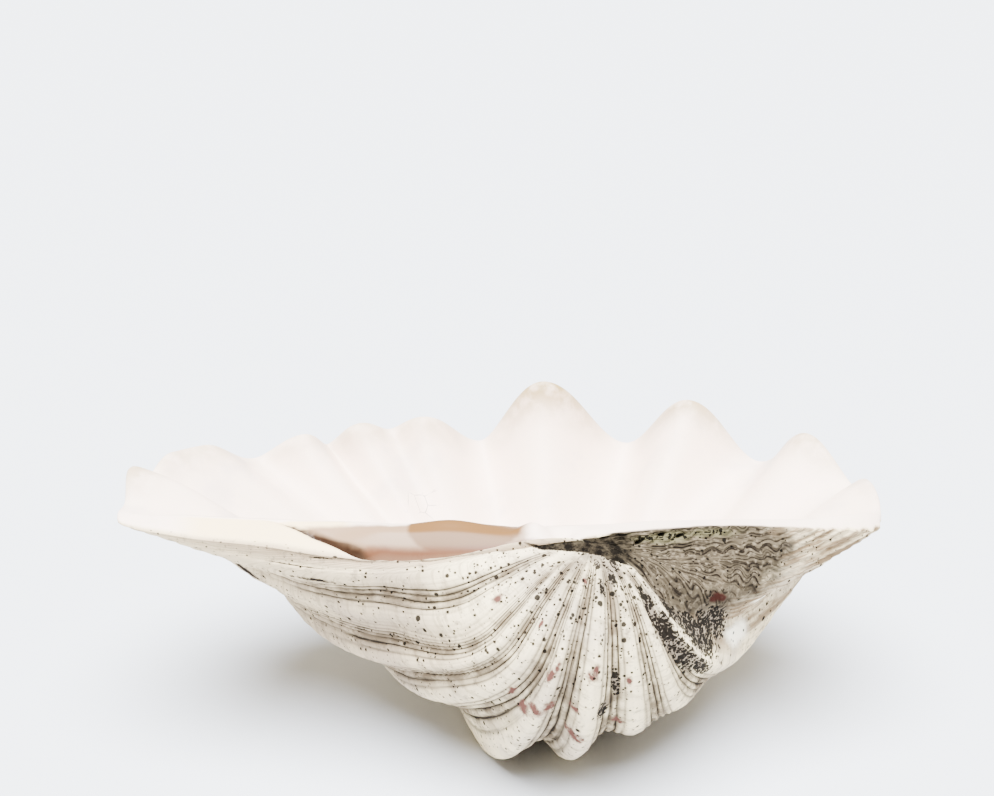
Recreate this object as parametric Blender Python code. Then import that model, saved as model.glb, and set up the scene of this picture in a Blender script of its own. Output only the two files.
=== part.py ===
"""One valve of a giant clam, lying as it rests, hollow side up.

A clam adds shell at its margin while the whole valve coils about its beak. The outside is
worked out in the same way: the margin is a closed curve, and every earlier margin is that
curve made smaller and rolled about the beak. Folds that run from the beak to the margin
push the surface out and in and lengthen the margin into lobes. The rim, the hinge plate
and the hollow are then drawn inside it. The valve grew as one piece, so it is one solid.
"""
import bmesh
import bpy
import numpy as np
from math import cos, radians, sin
from mathutils.bvhtree import BVHTree

# Driving dimensions. LENGTH is in metres. Every other size is in shell lengths.
# In the valve's own frame the beak is the origin, X runs along the hinge towards the
# front of the animal, Y runs from the hinge to the free edge, and Z is the open side.
LENGTH = 0.60
REST_TILT = radians(7.5)
WORN = 0.0065

# How many points go round the valve, and how many rows each stretch of it has.
COLUMNS = 116
OUTSIDE_ROWS = 21
RIM_ROWS = 7
HOLLOW_ROWS = 12
MARGIN_SAMPLES = 2001
MERGE = 1e-6
TINY = 1e-9

# The margin, seen from the open side: from the beak along the hinge to the back tip,
# round the free edge, and home along the short front side.
MARGIN = (
    (0.010, 0.020, 0.000),
    (-0.060, 0.006, -0.010),
    (-0.160, 0.002, -0.028),
    (-0.300, 0.015, -0.034),
    (-0.440, 0.045, -0.020),
    (-0.560, 0.076, -0.014),
    (-0.658, 0.118, 0.000),
    (-0.640, 0.200, 0.010),
    (-0.622, 0.290, 0.020),
    (-0.560, 0.390, 0.012),
    (-0.430, 0.485, 0.005),
    (-0.250, 0.565, 0.005),
    (-0.020, 0.610, 0.005),
    (0.190, 0.585, 0.003),
    (0.340, 0.500, -0.006),
    (0.408, 0.395, -0.008),
    (0.430, 0.290, -0.006),
    (0.428, 0.165, -0.024),
    (0.340, 0.092, -0.008),
    (0.200, 0.065, 0.004),
    (0.100, 0.045, 0.004),
)

# How the valve coils: the coil rate along x, slowest where the valve is deepest. The coil
# closes at CURL, and HOLD says how late it stops turning. TWIST leans the folds forward,
# and NARROW makes young shell slimmer.
COIL = (
    (-0.66, 0.500), (-0.45, 0.465), (-0.28, 0.450), (-0.12, 0.455),
    (0.05, 0.505), (0.20, 0.545), (0.45, 0.650),
)
CURL = radians(168)
HOLD = 4
TWIST = 0.14
NARROW = 1.10
BEAK_TIP = 0.03
ROW_CROWDING = 1.3

# The folds. At the free edge: place round the margin, swell outwards, and lobe past the
# margin. In the half grown shell, where they are more even: place and swell. Last, the
# place in the early shell, from which the back folds bend away.
FOLDS = (
    (0.262, 0.004, 0.000, 0.250, 0.003, 0.262),
    (0.286, -0.012, 0.042, 0.266, -0.006, 0.288),
    (0.303, 0.008, 0.012, 0.288, 0.008, 0.322),
    (0.328, -0.008, 0.028, 0.308, -0.008, 0.350),
    (0.350, -0.014, 0.028, 0.322, -0.010, 0.366),
    (0.385, 0.018, 0.010, 0.344, 0.014, 0.388),
    (0.412, -0.020, 0.024, 0.364, -0.008, 0.406),
    (0.431, 0.020, 0.016, 0.393, 0.016, 0.432),
    (0.448, -0.022, 0.030, 0.428, -0.008, 0.461),
    (0.467, -0.002, 0.022, 0.474, 0.030, 0.482),
    (0.485, -0.026, 0.030, 0.508, -0.014, 0.502),
    (0.523, 0.034, 0.006, 0.537, 0.034, 0.537),
    (0.559, -0.040, 0.066, 0.575, -0.018, 0.575),
    (0.609, 0.040, 0.004, 0.606, 0.015, 0.608),
    (0.647, -0.038, 0.053, 0.640, -0.004, 0.645),
    (0.686, 0.036, 0.000, 0.668, 0.008, 0.672),
    (0.729, -0.032, 0.043, 0.702, -0.006, 0.700),
    (0.764, 0.022, 0.000, 0.735, 0.022, 0.732),
    (0.797, -0.010, 0.020, 0.785, -0.018, 0.785),
)
GROWN_PLACE, GROWN_SWELL, LOBE, HALF_PLACE, HALF_SWELL, EARLY_PLACE = range(6)
PLACES = (GROWN_PLACE, HALF_PLACE, EARLY_PLACE)
FIRST_FOLD = 0.200
LAST_FOLD = 0.830
EARLY = 0.30
HALF = 0.50
GROWN = 0.95

# Broad bulges of the outside: place round the margin, size of the shell there, height,
# and half widths round and along. They are the back flank and the worn knobs below.
BULGES = (
    (0.355, 0.82, 0.036, 0.055, 0.15),
    (0.480, 0.60, 0.032, 0.021, 0.15),
    (0.535, 0.47, 0.006, 0.015, 0.10),
    (0.529, 0.74, 0.019, 0.018, 0.08),
)

# The rim. The free edge is a thin lip, and the hinge side is a broad plate. The turns are
# the stretches round the margin, from each tip, over which one passes into the other.
LIP = 0.013
LIP_ROUND = 0.55
BACK_TURN = (-0.04, 0.02)
FRONT_TURN = (-0.02, 0.05)
PLATE_WIDTH = (
    (-0.70, 0.030), (-0.60, 0.045), (-0.45, 0.075), (-0.30, 0.080),
    (-0.12, 0.080), (-0.03, 0.062), (0.03, 0.045), (0.12, 0.032),
    (0.30, 0.026), (0.45, 0.020),
)
PLATE_HEIGHT = ((-0.66, 0.006), (-0.45, 0.000), (-0.10, 0.000), (0.10, 0.008), (0.45, 0.000))
PLATE_DRAWN_IN = 0.985

# Where along x the relief of the plate begins and ends, where its inner part stands up, and
# over which part of its width it climbs there.
HINGE_BACK = (-0.50, -0.42)
HINGE_FRONT = (0.00, 0.05)
RAISED = (-0.36, -0.28)
CLIMB = (0.12, 0.55)

# The groove of the ligament crosses the plate: its place over the width, and its depth.
GROOVE_AT = ((-0.44, 0.95), (-0.38, 0.55), (-0.32, 0.26), (-0.28, 0.16), (0.00, 0.16))
GROOVE_DEPTH = (
    (-0.46, 0.000), (-0.41, 0.010), (-0.34, 0.030),
    (-0.20, 0.026), (-0.05, 0.012), (0.00, 0.000),
)
GROOVE_WIDTH = 0.085

# The teeth of the hinge: x, half length, height, place over the width, half width.
TEETH = (
    (-0.19, 0.055, 0.012, 0.80, 0.22),
    (-0.34, 0.060, 0.007, 0.80, 0.20),
    (-0.075, 0.020, 0.013, 0.60, 0.25),
    (-0.035, 0.018, -0.014, 0.50, 0.25),
)

# The hollow: its deepest point, how full its walls are by compass angle, and the least
# thickness of shell under it.
DEEPEST = (-0.060, 0.245, -0.250)
FULLNESS = (
    (-180, 1.35), (-150, 1.8), (-120, 3.0), (-90, 3.2), (-60, 3.0), (-30, 1.9),
    (0, 1.5), (40, 1.8), (90, 2.0), (140, 1.6), (165, 1.3), (180, 1.35),
)
LEAST_WALL = 0.014
FLOOR_WALL = 0.030
WALL_CROWDING = 1.15
PLAIN_TIMES = COLUMNS // 4
FOLD_FADE = 3.0
STEEPEST = 0.35
LIFT_SPREAD = 2
BELOW = -1.0

SHELL_COLOUR = (0.84, 0.80, 0.76, 1.0)
SHELL_ROUGHNESS = 0.55


def clear_scene():
    for thing in list(bpy.data.objects):
        bpy.data.objects.remove(thing, do_unlink=True)


def ease(x, start, end):
    """0 before start, 1 after end, and a smooth step between them."""
    share = np.clip((x - start) / (end - start), 0, 1)
    return share * share * (3 - 2 * share)


def hill(x, centre, half_width):
    return np.exp(-((x - centre) / half_width) ** 2)


def read_off(x, pairs):
    places, values = np.array(pairs).T
    return np.interp(x, places, values)


def curve_off(x, pairs):
    """A smooth curve through pairs of place and value."""
    places, values = np.array(pairs).T
    slopes = np.gradient(values, places)
    i = np.clip(np.searchsorted(places, x, side="right") - 1, 0, len(places) - 2)
    gap = places[i + 1] - places[i]
    u = np.clip((x - places[i]) / gap, 0, 1)
    return ((2 * u ** 3 - 3 * u ** 2 + 1) * values[i] + (u ** 3 - 2 * u ** 2 + u) * gap * slopes[i]
            + (3 * u ** 2 - 2 * u ** 3) * values[i + 1] + (u ** 3 - u ** 2) * gap * slopes[i + 1])


def through(x, places, values):
    """A curve with a flat top or bottom at each place."""
    places = np.asarray(places)
    values = np.asarray(values)
    i = np.clip(np.searchsorted(places, x, side="right") - 1, 0, len(places) - 2)
    share = np.clip((x - places[i]) / (places[i + 1] - places[i]), 0, 1)
    blend = 0.5 - 0.5 * np.cos(np.pi * share)
    return values[i] * (1 - blend) + values[i + 1] * blend


def closed_curve(points, shares):
    """Points at the given shares of the length of a smooth closed curve."""
    points = np.array(points)
    count = len(points)
    chord = np.linalg.norm(np.roll(points, -1, axis=0) - points, axis=1)
    run = np.concatenate([[0], np.cumsum(chord)])
    at = np.asarray(shares) * run[-1]
    i = np.clip(np.searchsorted(run, at, side="right") - 1, 0, count - 1)
    u = ((at - run[i]) / chord[i])[:, None]
    before, start, end, after = (points[(i + k) % count] for k in (-1, 0, 1, 2))
    c0, c1, c2 = (chord[(i + k) % count][:, None] for k in (-1, 0, 1))
    leave = ((start - before) / c0 * c1 + (end - start) / c1 * c0) / (c0 + c1) * c1
    arrive = ((end - start) / c1 * c2 + (after - end) / c2 * c1) / (c1 + c2) * c1
    return ((2 * u ** 3 - 3 * u ** 2 + 1) * start + (u ** 3 - 2 * u ** 2 + u) * leave
            + (3 * u ** 2 - 2 * u ** 3) * end + (u ** 3 - u ** 2) * arrive)


def tips():
    """Where round the margin the back tip and the front corner lie."""
    shares = np.linspace(0, 1, MARGIN_SAMPLES)
    x = closed_curve(MARGIN, shares % 1.0)[:, 0]
    return shares[x.argmin()], shares[x.argmax()]


def folds(column):
    """One column of FOLDS, with the stops where the folds begin and end."""
    first, last = (FIRST_FOLD, LAST_FOLD) if column in PLACES else (0.0, 0.0)
    return np.array([first, *(fold[column] for fold in FOLDS), last])


def swell(around, size):
    """How far the folds push each row of the outside out or in."""
    rows = np.empty(size.shape)
    for r, share in enumerate(size.mean(axis=1)):
        half = ease(share, EARLY, HALF)
        grown = ease(share, HALF, GROWN)
        places = folds(EARLY_PLACE) * (1 - half) + folds(HALF_PLACE) * half
        places = places * (1 - grown) + folds(GROWN_PLACE) * grown
        rows[r] = through(around, places, folds(HALF_SWELL) * (1 - grown) + folds(GROWN_SWELL) * grown)
    return rows


def grow(size, margin):
    """The margin as it was when it was size times as large, rolled about the beak."""
    x, y, z = margin.T
    age = -np.log(size)
    turn = age / curve_off(x, COIL)
    turn = np.sign(turn) * (np.maximum(np.abs(turn), TINY) ** -HOLD + CURL ** -HOLD) ** (-1 / HOLD)
    along = x * size ** (NARROW - 1) + y * TWIST * np.maximum(age, 0)
    out = y * np.cos(turn) + z * np.sin(turn)
    up = z * np.cos(turn) - y * np.sin(turn)
    return np.stack([size * along, size * out, size * up], axis=-1)


def outward(rows):
    """Unit normals of a grid of rows that close round the valve."""
    across = np.roll(rows, -1, axis=1) - np.roll(rows, 1, axis=1)
    normal = np.cross(np.gradient(rows, axis=0), across)
    return normal / np.maximum(np.linalg.norm(normal, axis=-1, keepdims=True), TINY)


def outside(around, margin):
    share = np.linspace(0, 1, OUTSIDE_ROWS)[:, None] ** ROW_CROWDING
    lobes = through(around, folds(GROWN_PLACE), folds(LOBE))
    size = BEAK_TIP + (1 + lobes - BEAK_TIP) * share
    plain = grow(size, margin)
    push = swell(around, size) * size
    for place, at, height, half_round, half_along in BULGES:
        push += height * hill(around, place, half_round) * hill(size, at, half_along)
    return plain + outward(plain) * push[..., None]


def rim(rows, around):
    """The rows from the outer edge over the lip or the hinge plate to the hollow."""
    back, front = tips()
    edge = rows[-1]
    x = edge[:, 0]
    free = ease(around - back, *BACK_TURN) * (1 - ease(around - front, *FRONT_TURN))
    growing = edge - rows[-2]
    growing = growing / np.linalg.norm(growing, axis=-1, keepdims=True)
    plate_y = edge[:, 1] + read_off(x, PLATE_WIDTH)
    plate = np.stack([x * PLATE_DRAWN_IN, plate_y, read_off(x, PLATE_HEIGHT)], axis=-1)
    lip = edge - outward(rows)[-1] * LIP
    inner = plate * (1 - free[:, None]) + lip * free[:, None]
    share = np.linspace(0, 1, RIM_ROWS + 2)[1:-1][:, None]
    top = edge + (inner - edge) * share[..., None]
    top = top + growing * (LIP * LIP_ROUND * np.sin(np.pi * share) * free)[..., None]
    hinge = (1 - free) * ease(x, *HINGE_BACK) * (1 - ease(x, *HINGE_FRONT))
    relief = (inner[:, 2] - edge[:, 2]) * ease(x, *RAISED) * (ease(share, *CLIMB) - share)
    relief = relief - read_off(x, GROOVE_DEPTH) * hill(share, read_off(x, GROOVE_AT), GROOVE_WIDTH)
    for tooth_x, half_length, height, place, half_width in TEETH:
        relief = relief + height * hill(x, tooth_x, half_length) * hill(share, place, half_width)
    top[..., 2] += relief * hinge
    return top, inner


def even_out(values):
    """Values round the valve with their folds smoothed away."""
    for _ in range(PLAIN_TIMES):
        values = (np.roll(values, 1, axis=0) + 2 * values + np.roll(values, -1, axis=0)) / 4
    return values


def swollen(lift):
    """A soft cover over every bump of a lift, which is nowhere lower than the lift."""
    wide = lift
    for _ in range(LIFT_SPREAD):
        wide = np.maximum(wide, np.maximum(np.roll(wide, 1, axis=1), np.roll(wide, -1, axis=1)))
        inside = np.maximum(wide[:-1], wide[1:])
        wide = np.maximum(wide, np.concatenate([wide[:1], inside]))
    for _ in range(LIFT_SPREAD):
        wide = (np.roll(wide, 1, axis=1) + 2 * wide + np.roll(wide, -1, axis=1)) / 4
    return wide


def skin_tree(rows):
    """The outside as faces that a ray can meet."""
    count = rows.shape[1]
    faces = []
    for r in range(len(rows) - 1):
        for c in range(count):
            beside = (c + 1) % count
            faces.append((r * count + c, r * count + beside, (r + 1) * count + beside, (r + 1) * count + c))
    return BVHTree.FromPolygons(rows.reshape(-1, 3).tolist(), faces)


def hollow(rows, inner):
    """The rows from the rim down to the deepest point, never thinner than the least wall."""
    deepest = np.array(DEEPEST)
    plain = even_out(inner)
    reach = plain[:, :2] - deepest[:2]
    angle = np.degrees(np.arctan2(reach[:, 1], reach[:, 0]))
    share = 1 - np.linspace(0, 1, HOLLOW_ROWS + 1)[:-1, None] ** WALL_CROWDING
    down = np.empty((HOLLOW_ROWS, len(inner), 3))
    down[..., :2] = deepest[:2] + reach * share[..., None]
    down[..., 2] = deepest[2] + (plain[:, 2] - deepest[2]) * share ** read_off(angle, FULLNESS)
    down += (inner - plain) * (share ** FOLD_FADE)[..., None]
    lift = np.zeros((HOLLOW_ROWS, len(inner)))
    skin = skin_tree(rows)
    for r in range(1, HOLLOW_ROWS):
        wall = LEAST_WALL + (FLOOR_WALL - LEAST_WALL) * (1 - share[r, 0])
        for c in range(len(inner)):
            x, y, z = down[r, c]
            hit, normal, _, _ = skin.ray_cast((x, y, BELOW), (0, 0, 1))
            if hit is not None:
                lift[r, c] = max(hit.z + wall / max(abs(normal.z), STEEPEST) - z, 0)
    down[..., 2] += swollen(lift)
    return down, deepest


def valve_rows():
    """Every row of the valve, from the beak over the outside and the rim into the hollow."""
    around = np.arange(COLUMNS) / COLUMNS
    margin = closed_curve(MARGIN, around)
    skin = outside(around, margin)
    top, inner = rim(skin, around)
    down, deepest = hollow(skin, inner)
    tip = np.broadcast_to(skin[0].mean(axis=0), (1, COLUMNS, 3))
    floor = np.broadcast_to(deepest, (1, COLUMNS, 3))
    return np.concatenate([tip, skin, top, down, floor])


def lay_down(rows):
    """The valve at its real size, tilted as it rests, on its worn folds at z = 0."""
    x, y, z = np.moveaxis(rows * LENGTH, -1, 0)
    y, z = y * cos(REST_TILT) + z * sin(REST_TILT), z * cos(REST_TILT) - y * sin(REST_TILT)
    x = x - (x.max() + x.min()) / 2
    y = y - (y.max() + y.min()) / 2
    z = np.maximum(z - z.min() - WORN * LENGTH, 0)
    return np.stack([x, y, z], axis=-1)


def shell_material():
    material = bpy.data.materials.new("shell")
    material.use_nodes = True
    surface = material.node_tree.nodes["Principled BSDF"]
    surface.inputs["Base Color"].default_value = SHELL_COLOUR
    surface.inputs["Roughness"].default_value = SHELL_ROUGHNESS
    surface.inputs["Metallic"].default_value = 0.0
    return material


def make_valve():
    """A flat grid rolled up into the valve: one side runs round it, the other along it."""
    rows = lay_down(valve_rows())
    last = len(rows) - 1
    sheet = bmesh.new()
    bmesh.ops.create_grid(sheet, x_segments=COLUMNS, y_segments=last, size=1.0)
    for point in sheet.verts:
        column = round((point.co.x + 1) / 2 * COLUMNS) % COLUMNS
        row = round((point.co.y + 1) / 2 * last)
        point.co = rows[row, column]
    bmesh.ops.remove_doubles(sheet, verts=sheet.verts, dist=MERGE)
    bmesh.ops.triangulate(sheet, faces=sheet.faces, quad_method="SHORT_EDGE")
    bmesh.ops.recalc_face_normals(sheet, faces=sheet.faces)
    mesh = bpy.data.meshes.new("clam_shell")
    sheet.to_mesh(mesh)
    sheet.free()
    mesh.materials.append(shell_material())
    mesh.shade_smooth()
    valve = bpy.data.objects.new("clam_shell", mesh)
    bpy.context.scene.collection.objects.link(valve)
    return valve


clear_scene()
make_valve()
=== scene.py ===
# %% [markdown]
# A giant clam shell
#
# One valve of a giant clam lies hollow side up. A clam adds a little shell at its margin
# all its life, while the valve coils about its beak, so the whole outside can be worked out
# from one closed curve and a few rates. This lesson rolls a flat grid up into that shape,
# with far more points than the plain model has, and then dresses it in one material.

# %% Load the fixed frame
from math import cos, pi, radians, sin

import bpy
import numpy as np
from mathutils.bvhtree import BVHTree
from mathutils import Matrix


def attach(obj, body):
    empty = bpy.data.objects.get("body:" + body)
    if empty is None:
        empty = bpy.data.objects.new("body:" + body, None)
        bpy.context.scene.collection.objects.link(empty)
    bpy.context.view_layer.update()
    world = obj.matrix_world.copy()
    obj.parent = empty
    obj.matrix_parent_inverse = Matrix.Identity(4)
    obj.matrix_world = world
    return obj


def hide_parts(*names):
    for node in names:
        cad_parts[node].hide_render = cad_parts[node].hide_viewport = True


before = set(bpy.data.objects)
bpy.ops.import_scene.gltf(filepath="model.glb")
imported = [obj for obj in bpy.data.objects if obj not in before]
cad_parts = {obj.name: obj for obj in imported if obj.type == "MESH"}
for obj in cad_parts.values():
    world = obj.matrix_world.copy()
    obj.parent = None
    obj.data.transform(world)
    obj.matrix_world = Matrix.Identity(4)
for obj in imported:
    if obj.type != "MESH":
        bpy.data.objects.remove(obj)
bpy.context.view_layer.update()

# %% [markdown]
# The sizes of the valve
#
# LENGTH is in metres, and every other size is in shell lengths. In the valve's own frame
# the beak is the origin, X runs along the hinge towards the front of the animal, Y runs
# from the hinge to the free edge, and Z is the open side. They are the sizes of the plain
# model, repeated here, so that the dressed valve lies exactly where the plain one does.

# %% The margin and how it coils
LENGTH = 0.60
REST_TILT = radians(7.5)
BEAK = (0.06674, -0.14718, 0.21705)

MARGIN = (
    (0.010, 0.020, 0.000), (-0.060, 0.006, -0.010), (-0.160, 0.002, -0.028),
    (-0.300, 0.015, -0.034), (-0.440, 0.045, -0.020), (-0.560, 0.076, -0.014),
    (-0.658, 0.118, 0.000), (-0.640, 0.200, 0.010), (-0.622, 0.290, 0.020),
    (-0.560, 0.390, 0.012), (-0.430, 0.485, 0.005), (-0.250, 0.565, 0.005),
    (-0.020, 0.610, 0.005), (0.190, 0.585, 0.003), (0.340, 0.500, -0.006),
    (0.408, 0.395, -0.008), (0.430, 0.290, -0.006), (0.428, 0.165, -0.024),
    (0.340, 0.092, -0.008), (0.200, 0.065, 0.004), (0.100, 0.045, 0.004),
)
COIL = (
    (-0.66, 0.500), (-0.45, 0.465), (-0.28, 0.450), (-0.12, 0.455),
    (0.05, 0.505), (0.20, 0.545), (0.45, 0.650),
)
CURL = radians(168)
HOLD = 4
TWIST = 0.14
NARROW = 1.10
BEAK_TIP = 0.03
ROW_CROWDING = 1.3
TINY = 1e-9
print("margin points:", len(MARGIN))

# %% [markdown]
# The folds
#
# Each fold has a place round the margin, a swell outwards and a lobe past the margin. In
# the half grown shell the folds are more even, and the back ones stand elsewhere, so they
# bend on their way. GROOVE tells the hollows between the ribs, where dirt stays, from the
# ribs, which wear white. A bulge is a place round the margin, the size of the shell there,
# a height and two half widths, round and along.

# %% The folds, the bulges and the worn knobs
FOLDS = (
    (0.262, 0.004, 0.000, 0.250, 0.003, 0.262, 0),
    (0.286, -0.012, 0.042, 0.266, -0.006, 0.288, 1),
    (0.303, 0.008, 0.012, 0.288, 0.008, 0.322, 0),
    (0.328, -0.008, 0.028, 0.308, -0.008, 0.350, 0.3),
    (0.350, -0.014, 0.028, 0.322, -0.010, 0.366, 1),
    (0.385, 0.018, 0.010, 0.344, 0.014, 0.388, 0),
    (0.412, -0.020, 0.024, 0.364, -0.008, 0.406, 1),
    (0.431, 0.020, 0.016, 0.393, 0.016, 0.432, 0),
    (0.448, -0.022, 0.030, 0.428, -0.008, 0.461, 1),
    (0.467, -0.002, 0.022, 0.474, 0.030, 0.482, 0),
    (0.485, -0.026, 0.030, 0.508, -0.014, 0.502, 1),
    (0.523, 0.034, 0.006, 0.537, 0.034, 0.537, 0),
    (0.559, -0.040, 0.066, 0.575, -0.018, 0.575, 1),
    (0.609, 0.040, 0.004, 0.606, 0.015, 0.608, 0),
    (0.647, -0.038, 0.053, 0.640, -0.004, 0.645, 1),
    (0.686, 0.036, 0.000, 0.668, 0.008, 0.672, 0),
    (0.729, -0.032, 0.043, 0.702, -0.006, 0.700, 1),
    (0.764, 0.022, 0.000, 0.735, 0.022, 0.732, 0),
    (0.797, -0.010, 0.020, 0.785, -0.018, 0.785, 0),
)
GROWN_PLACE, GROWN_SWELL, LOBE, HALF_PLACE, HALF_SWELL, EARLY_PLACE, GROOVE = range(7)
PLACES = (GROWN_PLACE, HALF_PLACE, EARLY_PLACE)
FIRST_FOLD = 0.200
LAST_FOLD = 0.830
EARLY = 0.30
HALF = 0.50
GROWN = 0.95

BULGES = (
    (0.355, 0.82, 0.036, 0.055, 0.15),
    (0.480, 0.60, 0.032, 0.021, 0.15),
    (0.535, 0.47, 0.006, 0.015, 0.10),
    (0.529, 0.74, 0.019, 0.018, 0.08),
)
print("folds:", len(FOLDS))

# %% [markdown]
# The rim and the hollow
#
# The rim is a thin lip at the free edge and a broad plate at the hinge. The hollow is
# smooth, so it is worked out on a coarse net, just as in the plain model, and later read
# off it between its points. A tooth is a place along x, a half length, a height, a place
# over the plate's width and a half width.

# %% The sizes of the rim, the hinge and the hollow
NET_COLUMNS = 116
NET_OUTSIDE = 21
NET_HOLLOW = 12
LIP = 0.013
LIP_ROUND = 0.55
BACK_TURN = (-0.04, 0.02)
FRONT_TURN = (-0.02, 0.05)
PLATE_WIDTH = (
    (-0.70, 0.030), (-0.60, 0.045), (-0.45, 0.075), (-0.30, 0.080),
    (-0.12, 0.080), (-0.03, 0.062), (0.03, 0.045), (0.12, 0.032),
    (0.30, 0.026), (0.45, 0.020),
)
PLATE_HEIGHT = ((-0.66, 0.006), (-0.45, 0.000), (-0.10, 0.000), (0.10, 0.008), (0.45, 0.000))
PLATE_DRAWN_IN = 0.985
HINGE_BACK = (-0.50, -0.42)
HINGE_FRONT = (0.00, 0.05)
RAISED = (-0.36, -0.28)
CLIMB = (0.12, 0.55)
GROOVE_AT = ((-0.44, 0.95), (-0.38, 0.55), (-0.32, 0.26), (-0.28, 0.16), (0.00, 0.16))
GROOVE_DEPTH = (
    (-0.46, 0.000), (-0.41, 0.010), (-0.34, 0.030),
    (-0.20, 0.026), (-0.05, 0.012), (0.00, 0.000),
)
GROOVE_WIDTH = ((-0.40, 0.045), (-0.31, 0.055), (-0.26, 0.085))
TEETH = (
    (-0.19, 0.055, 0.012, 0.80, 0.22),
    (-0.34, 0.060, 0.007, 0.80, 0.20),
    (-0.075, 0.020, 0.013, 0.60, 0.25),
    (-0.035, 0.018, -0.014, 0.50, 0.25),
)
DEEPEST = (-0.060, 0.245, -0.250)
FULLNESS = (
    (-180, 1.35), (-150, 1.8), (-120, 3.0), (-90, 3.2), (-60, 3.0), (-30, 1.9),
    (0, 1.5), (40, 1.8), (90, 2.0), (140, 1.6), (165, 1.3), (180, 1.35),
)
LEAST_WALL = 0.014
FLOOR_WALL = 0.030
WALL_CROWDING = 1.15
PLAIN_TIMES = NET_COLUMNS // 4
FOLD_FADE = 3.0
STEEPEST = 0.35
LIFT_SPREAD = 2
BELOW = -1.0
MARGIN_SAMPLES = 2001
print("rows of the coarse net:", NET_OUTSIDE + NET_HOLLOW)

# %% [markdown]
# Curves
#
# A few helpers draw soft steps, hills and curves through given points. They work on whole
# rows of numbers at once, which is what makes a grid of a hundred thousand points quick.


# %% Helpers for curves
def ease(x, start, end):
    """0 before start, 1 after end, and a smooth step between them."""
    share = np.clip((x - start) / (end - start), 0, 1)
    return share * share * (3 - 2 * share)


def hill(x, centre, half_width):
    return np.exp(-((x - centre) / half_width) ** 2)


def read_off(x, pairs):
    places, values = np.array(pairs).T
    return np.interp(x, places, values)


def curve_off(x, pairs):
    """A smooth curve through pairs of place and value."""
    places, values = np.array(pairs).T
    slopes = np.gradient(values, places)
    i = np.clip(np.searchsorted(places, x, side="right") - 1, 0, len(places) - 2)
    gap = places[i + 1] - places[i]
    u = np.clip((x - places[i]) / gap, 0, 1)
    return ((2 * u ** 3 - 3 * u ** 2 + 1) * values[i] + (u ** 3 - 2 * u ** 2 + u) * gap * slopes[i]
            + (3 * u ** 2 - 2 * u ** 3) * values[i + 1] + (u ** 3 - u ** 2) * gap * slopes[i + 1])


def through(x, places, values):
    """A curve with a flat top or bottom at each place."""
    i = np.clip(np.searchsorted(places, x, side="right") - 1, 0, len(places) - 2)
    share = np.clip((x - places[i]) / (places[i + 1] - places[i]), 0, 1)
    blend = 0.5 - 0.5 * np.cos(pi * share)
    return values[i] * (1 - blend) + values[i + 1] * blend


print("half way up a step:", float(ease(0.5, 0, 1)))


# %% A helper for closed curves
def closed_curve(points, shares):
    """Points at the given shares of the length of a smooth closed curve."""
    points = np.array(points)
    count = len(points)
    chord = np.linalg.norm(np.roll(points, -1, axis=0) - points, axis=1)
    run = np.concatenate([[0], np.cumsum(chord)])
    at = np.asarray(shares) * run[-1]
    i = np.clip(np.searchsorted(run, at, side="right") - 1, 0, count - 1)
    u = ((at - run[i]) / chord[i])[:, None]
    before, start, end, after = (points[(i + k) % count] for k in (-1, 0, 1, 2))
    c0, c1, c2 = (chord[(i + k) % count][:, None] for k in (-1, 0, 1))
    leave = ((start - before) / c0 * c1 + (end - start) / c1 * c0) / (c0 + c1) * c1
    arrive = ((end - start) / c1 * c2 + (after - end) / c2 * c1) / (c1 + c2) * c1
    return ((2 * u ** 3 - 3 * u ** 2 + 1) * start + (u ** 3 - 2 * u ** 2 + u) * leave
            + (3 * u ** 2 - 2 * u ** 3) * end + (u ** 3 - u ** 2) * arrive)


print("half way round the margin:", closed_curve(MARGIN, [0.5])[0].round(3))

# %% [markdown]
# Growth
#
# A younger margin is the grown one made smaller and rolled back about the beak. The turn
# goes with the logarithm of the size, as in every coiled shell.


# %% Roll the margin about the beak
def folds(column):
    """One column of FOLDS, with the stops where the folds begin and end."""
    first, last = (FIRST_FOLD, LAST_FOLD) if column in PLACES else (0.0, 0.0)
    return np.array([first, *(fold[column] for fold in FOLDS), last])


def fold_places(size):
    """Where the folds run when the shell is that large, and how far it is grown."""
    half = ease(size, EARLY, HALF)
    grown = ease(size, HALF, GROWN)
    places = folds(EARLY_PLACE) * (1 - half) + folds(HALF_PLACE) * half
    return places * (1 - grown) + folds(GROWN_PLACE) * grown, grown


def grow(size, margin):
    """The margin as it was when it was size times as large, rolled about the beak."""
    x, y, z = margin.T
    age = -np.log(size)
    turn = age / curve_off(x, COIL)
    turn = np.sign(turn) * (np.maximum(np.abs(turn), TINY) ** -HOLD + CURL ** -HOLD) ** (-1 / HOLD)
    along = x * size ** (NARROW - 1) + y * TWIST * np.maximum(age, 0)
    out = y * np.cos(turn) + z * np.sin(turn)
    up = z * np.cos(turn) - y * np.sin(turn)
    return np.stack([size * along, size * out, size * up], axis=-1)


def outward(rows):
    """Unit normals of a grid of rows that close round the valve."""
    across = np.roll(rows, -1, axis=1) - np.roll(rows, 1, axis=1)
    normal = np.cross(np.gradient(rows, axis=0), across)
    return normal / np.maximum(np.linalg.norm(normal, axis=-1, keepdims=True), TINY)


print("half the size, the back tip has turned to:", grow(HALF, np.array(MARGIN))[6].round(3))


# %% Grow the outside
def sizes(around, share):
    """How large the shell was at each row and column."""
    lobes = through(around, folds(GROWN_PLACE), folds(LOBE))
    return BEAK_TIP + (1 + lobes - BEAK_TIP) * share[:, None]


def middle_sizes(share):
    """The mean size along each row, which sets where its folds run."""
    return sizes(np.arange(NET_COLUMNS) / NET_COLUMNS, share).mean(axis=1)


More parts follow.
